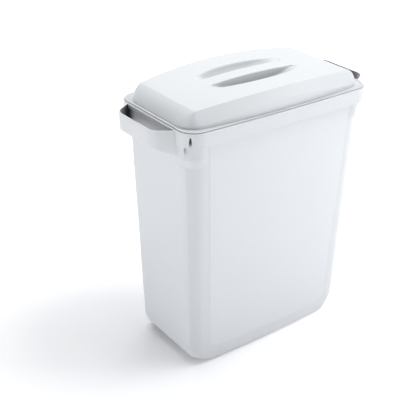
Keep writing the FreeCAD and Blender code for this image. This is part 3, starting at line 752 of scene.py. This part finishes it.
class Nodes:
    """A small hand for wiring a material's nodes."""

    def __init__(self, name):
        self.material = bpy.data.materials.new(name)
        self.material.use_nodes = True
        self.tree = self.material.node_tree
        self.shader = self.tree.nodes["Principled BSDF"]
        self.place = self.add("ShaderNodeTexCoord").outputs["Object"]

    def add(self, kind, **settings):
        """A new node with some of its settings."""
        node = self.tree.nodes.new(kind)
        for key, value in settings.items():
            setattr(node, key, value)
        return node

    def link(self, source, target):
        """A wire from one socket to another."""
        self.tree.links.new(source, target)

    def noise(self, scale, detail=2.0, rough=0.5, stretch=None):
        """Noise over the object's own place, stretched along some axes if asked."""
        source = self.place
        if stretch:
            mapping = self.add("ShaderNodeMapping")
            mapping.inputs["Scale"].default_value = stretch
            self.link(source, mapping.inputs["Vector"])
            source = mapping.outputs["Vector"]
        node = self.add("ShaderNodeTexNoise")
        node.inputs["Scale"].default_value = scale
        node.inputs["Detail"].default_value = detail
        node.inputs["Roughness"].default_value = rough
        self.link(source, node.inputs["Vector"])
        return node.outputs["Fac"]

    def remap(self, source, low, high, to_low, to_high):
        """A value moved from one range to another."""
        node = self.add("ShaderNodeMapRange")
        for socket, value in zip(("From Min", "From Max", "To Min", "To Max"), (low, high, to_low, to_high)):
            node.inputs[socket].default_value = value
        self.link(source, node.inputs["Value"])
        return node.outputs["Result"]

    def math(self, operation, first, second):
        """One sum on two values, each a constant or a socket."""
        node = self.add("ShaderNodeMath", operation=operation)
        for socket, value in zip(node.inputs, (first, second)):
            if isinstance(value, (int, float)):
                socket.default_value = value
            else:
                self.link(value, socket)
        return node.outputs["Value"]

    def blend(self, factor, first, second):
        """Mix of two colours, each a constant or a socket."""
        node = self.add("ShaderNodeMix", data_type="RGBA")
        self.link(factor, node.inputs["Factor"])
        for socket, value in (("A", first), ("B", second)):
            target = [item for item in node.inputs if item.name == socket and item.type == "RGBA"][0]
            if isinstance(value, tuple):
                target.default_value = (*value, 1)
            else:
                self.link(value, target)
        return [item for item in node.outputs if item.type == "RGBA"][0]

    def mark(self, name):
        """A value that the mesh carries at its points."""
        return self.add("ShaderNodeAttribute", attribute_name=name).outputs["Fac"]

    def bump(self, height, distance, strength, below=None):
        """Fine relief from a height value, on top of another relief."""
        node = self.add("ShaderNodeBump")
        node.inputs["Distance"].default_value = distance
        node.inputs["Strength"].default_value = strength
        self.link(height, node.inputs["Height"])
        if below is not None:
            self.link(below, node.inputs["Normal"])
        return node.outputs["Normal"]


# colour of the painted shade in recesses, handle openings and finger pockets
PAINTED_SHADE_TONE = (0.016, 0.016, 0.017)


def moulded_plastic(name, smooth_tone, grained_tone, rough_smooth, rough_grained):
    """White polypropylene: satin frame, finely grained panels, faint flow marks and scuffs, and painted
    shade where the mesh's shade mark is high.
    """
    nodes = Nodes(name)
    grained = nodes.remap(nodes.mark("texture_edge"), -0.7, 0.7, 1, 0)
    tone = nodes.blend(grained, smooth_tone, grained_tone)
    mottle = nodes.remap(nodes.noise(9, 3), 0.3, 0.7, 0, 0.35)
    tone = nodes.blend(mottle, tone, tuple(value * 0.965 for value in grained_tone))
    scuffs = nodes.remap(nodes.noise(26, 6, 0.75, (1, 1, 4)), 0.62, 0.78, 0, 0.25)
    tone = nodes.blend(scuffs, tone, tuple(value * 0.93 for value in smooth_tone))
    # painted shade: the mesh's shade mark darkens the colour towards the painted shade tone
    tone = nodes.blend(nodes.mark("shade"), tone, PAINTED_SHADE_TONE)
    nodes.link(tone, nodes.shader.inputs["Base Color"])

    rough = nodes.math("MULTIPLY_ADD", grained, rough_grained - rough_smooth)
    rough.node.inputs[2].default_value = rough_smooth
    vary = nodes.remap(nodes.noise(40, 4), 0.3, 0.7, -0.04, 0.05)
    worn = nodes.math("MULTIPLY", scuffs, 0.5)
    nodes.link(nodes.math("ADD", nodes.math("ADD", rough, vary), worn), nodes.shader.inputs["Roughness"])

    peel = nodes.bump(nodes.noise(220, 2), 0.0004, 0.10)
    grain = nodes.math("MULTIPLY", nodes.noise(2600, 2, 0.6), grained)
    nodes.link(nodes.bump(grain, 0.0002, 0.45, peel), nodes.shader.inputs["Normal"])
    nodes.shader.inputs["IOR"].default_value = 1.49
    nodes.shader.inputs["Specular IOR Level"].default_value = 0.5
    return nodes.material


# painted light and shadow: the floor glows more the further it lies from this point, leaving a painted
# shadow round it
PAINTED_SHADOW_CENTRE = (-0.32, 0.13, 0)
GLOW_START, GLOW_FULL = 0.14, 1.25
GLOW_STRENGTH = 0.75


def studio_floor():
    """Pale matt sweep that glows as painted light, except round a point beside the bin's left end, which
    leaves a painted shadow there.
    """
    nodes = Nodes("studio_floor")
    cloud = nodes.remap(nodes.noise(3, 2), 0.3, 0.7, 0, 1)
    tone = nodes.blend(cloud, (0.945, 0.95, 0.97), (0.96, 0.965, 0.985))
    nodes.link(tone, nodes.shader.inputs["Base Color"])
    nodes.link(nodes.remap(nodes.noise(30, 3), 0.3, 0.7, 0.85, 0.95), nodes.shader.inputs["Roughness"])
    nodes.shader.inputs["Specular IOR Level"].default_value = 0.1
    distance = nodes.add("ShaderNodeVectorMath", operation="DISTANCE")
    distance.inputs[1].default_value = PAINTED_SHADOW_CENTRE
    nodes.link(nodes.place, distance.inputs[0])
    glow = nodes.remap(distance.outputs["Value"], GLOW_START, GLOW_FULL, 0, GLOW_STRENGTH)
    nodes.shader.inputs["Emission Color"].default_value = (1, 1, 1, 1)
    nodes.link(glow, nodes.shader.inputs["Emission Strength"])
    return nodes.material


# ---------------------------------------------------------------- studio


def add_light(name, place, target, size, power):
    """A soft rectangular light, in metres, aimed at a point."""
    data = bpy.data.lights.new(name, "AREA")
    data.shape = "RECTANGLE"
    data.size, data.size_y = size
    data.energy = power
    item = bpy.data.objects.new(name, data)
    item.location = place
    item.rotation_euler = (Vector(target) - Vector(place)).to_track_quat("-Z", "Y").to_euler()
    bpy.context.scene.collection.objects.link(item)


def add_camera(place, ahead, upward, focal):
    """A camera looking along one direction with another kept upright."""
    back = -Vector(ahead).normalized()
    up = (Vector(upward) - back * Vector(upward).dot(back)).normalized()
    right = up.cross(back)
    data = bpy.data.cameras.new("camera")
    data.lens = focal
    data.sensor_width = 36.0
    data.clip_end = 50
    item = bpy.data.objects.new("camera", data)
    item.matrix_world = Matrix((
        (right.x, up.x, back.x, place[0]), (right.y, up.y, back.y, place[1]),
        (right.z, up.z, back.z, place[2]), (0, 0, 0, 1)))
    bpy.context.scene.collection.objects.link(item)
    bpy.context.scene.camera = item


def add_floor():
    """A level square of floor, a hair below the base."""
    mesh = bpy.data.meshes.new("floor")
    reach = 6.0
    mesh.from_pydata([(-reach, -reach, 0), (reach, -reach, 0), (reach, reach, 0), (-reach, reach, 0)],
                     [], [(0, 1, 2, 3)])
    mesh.materials.append(studio_floor())
    item = bpy.data.objects.new("floor", mesh)
    item.location.z = -0.0005
    bpy.context.scene.collection.objects.link(item)


def set_world(horizon, sky):
    """Even studio surroundings: bright near the horizon, dimmer above it."""
    world = bpy.data.worlds.new("studio")
    world.use_nodes = True
    tree = world.node_tree
    background = tree.nodes["Background"]
    background.inputs["Color"].default_value = (1, 1, 1, 1)
    axes = tree.nodes.new("ShaderNodeSeparateXYZ")
    tree.links.new(tree.nodes.new("ShaderNodeTexCoord").outputs["Generated"], axes.inputs["Vector"])
    height = tree.nodes.new("ShaderNodeMapRange")
    for socket, value in zip(("From Min", "From Max", "To Min", "To Max"), (0.08, 0.2, horizon, sky)):
        height.inputs[socket].default_value = value
    tree.links.new(axes.outputs["Z"], height.inputs["Value"])
    tree.links.new(height.outputs["Result"], background.inputs["Strength"])
    bpy.context.scene.world = world


# ---------------------------------------------------------------- assembly

LOOK_AT = (0, 0, 0.35)
SOFTBOXES = (("overhead", (0.1, 0.3, 2.4), (2.2, 2.2), 40),
             ("right_top", (1.2, -0.6, 2.1), (1.0, 1.0), 17),
             ("right_front", (1.5, -1.8, 0.85), (1.2, 1.2), 16.5),
             ("left", (-2.2, 0.1, 0.45), (1.6, 0.8), 9.6),
             ("left_top", (-1.5, 0.5, 1.7), (1.2, 1.2), 2.2),
             ("back_right", (1.5, 1.8, 1.9), (1.6, 1.6), 8),
             ("back", (0.2, 2.3, 1.7), (1.8, 1.2), 5))
CAMERA_PLACE = (-1.15261, -1.4095, 1.28792)
CAMERA_AHEAD = (0.520606, 0.714453, -0.467467)
CAMERA_UPWARD = (0.270639, 0.38119, 0.883996)
CAMERA_FOCAL = 78.32

white = moulded_plastic("white_polypropylene", (0.594, 0.61, 0.634), (0.638, 0.658, 0.681), 0.38, 0.55)
lid_white = moulded_plastic("lid_polypropylene", (0.596, 0.617, 0.639), (0.608, 0.629, 0.652), 0.42, 0.55)

for piece, node, body, material in ((build_tub(), "tub", "tub_body", white),
                                    (build_lid(), "lid", "lid_body", lid_white)):
    piece.data.materials.append(material)
    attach(piece, body)
    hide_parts(node)

add_floor()
set_world(horizon=0.95, sky=0.18)
for name, place, size, power in SOFTBOXES:
    add_light(name + "_softbox", place, LOOK_AT, size, power)
add_camera(CAMERA_PLACE, CAMERA_AHEAD, CAMERA_UPWARD, CAMERA_FOCAL)
bpy.context.scene.view_settings.view_transform = "Standard"
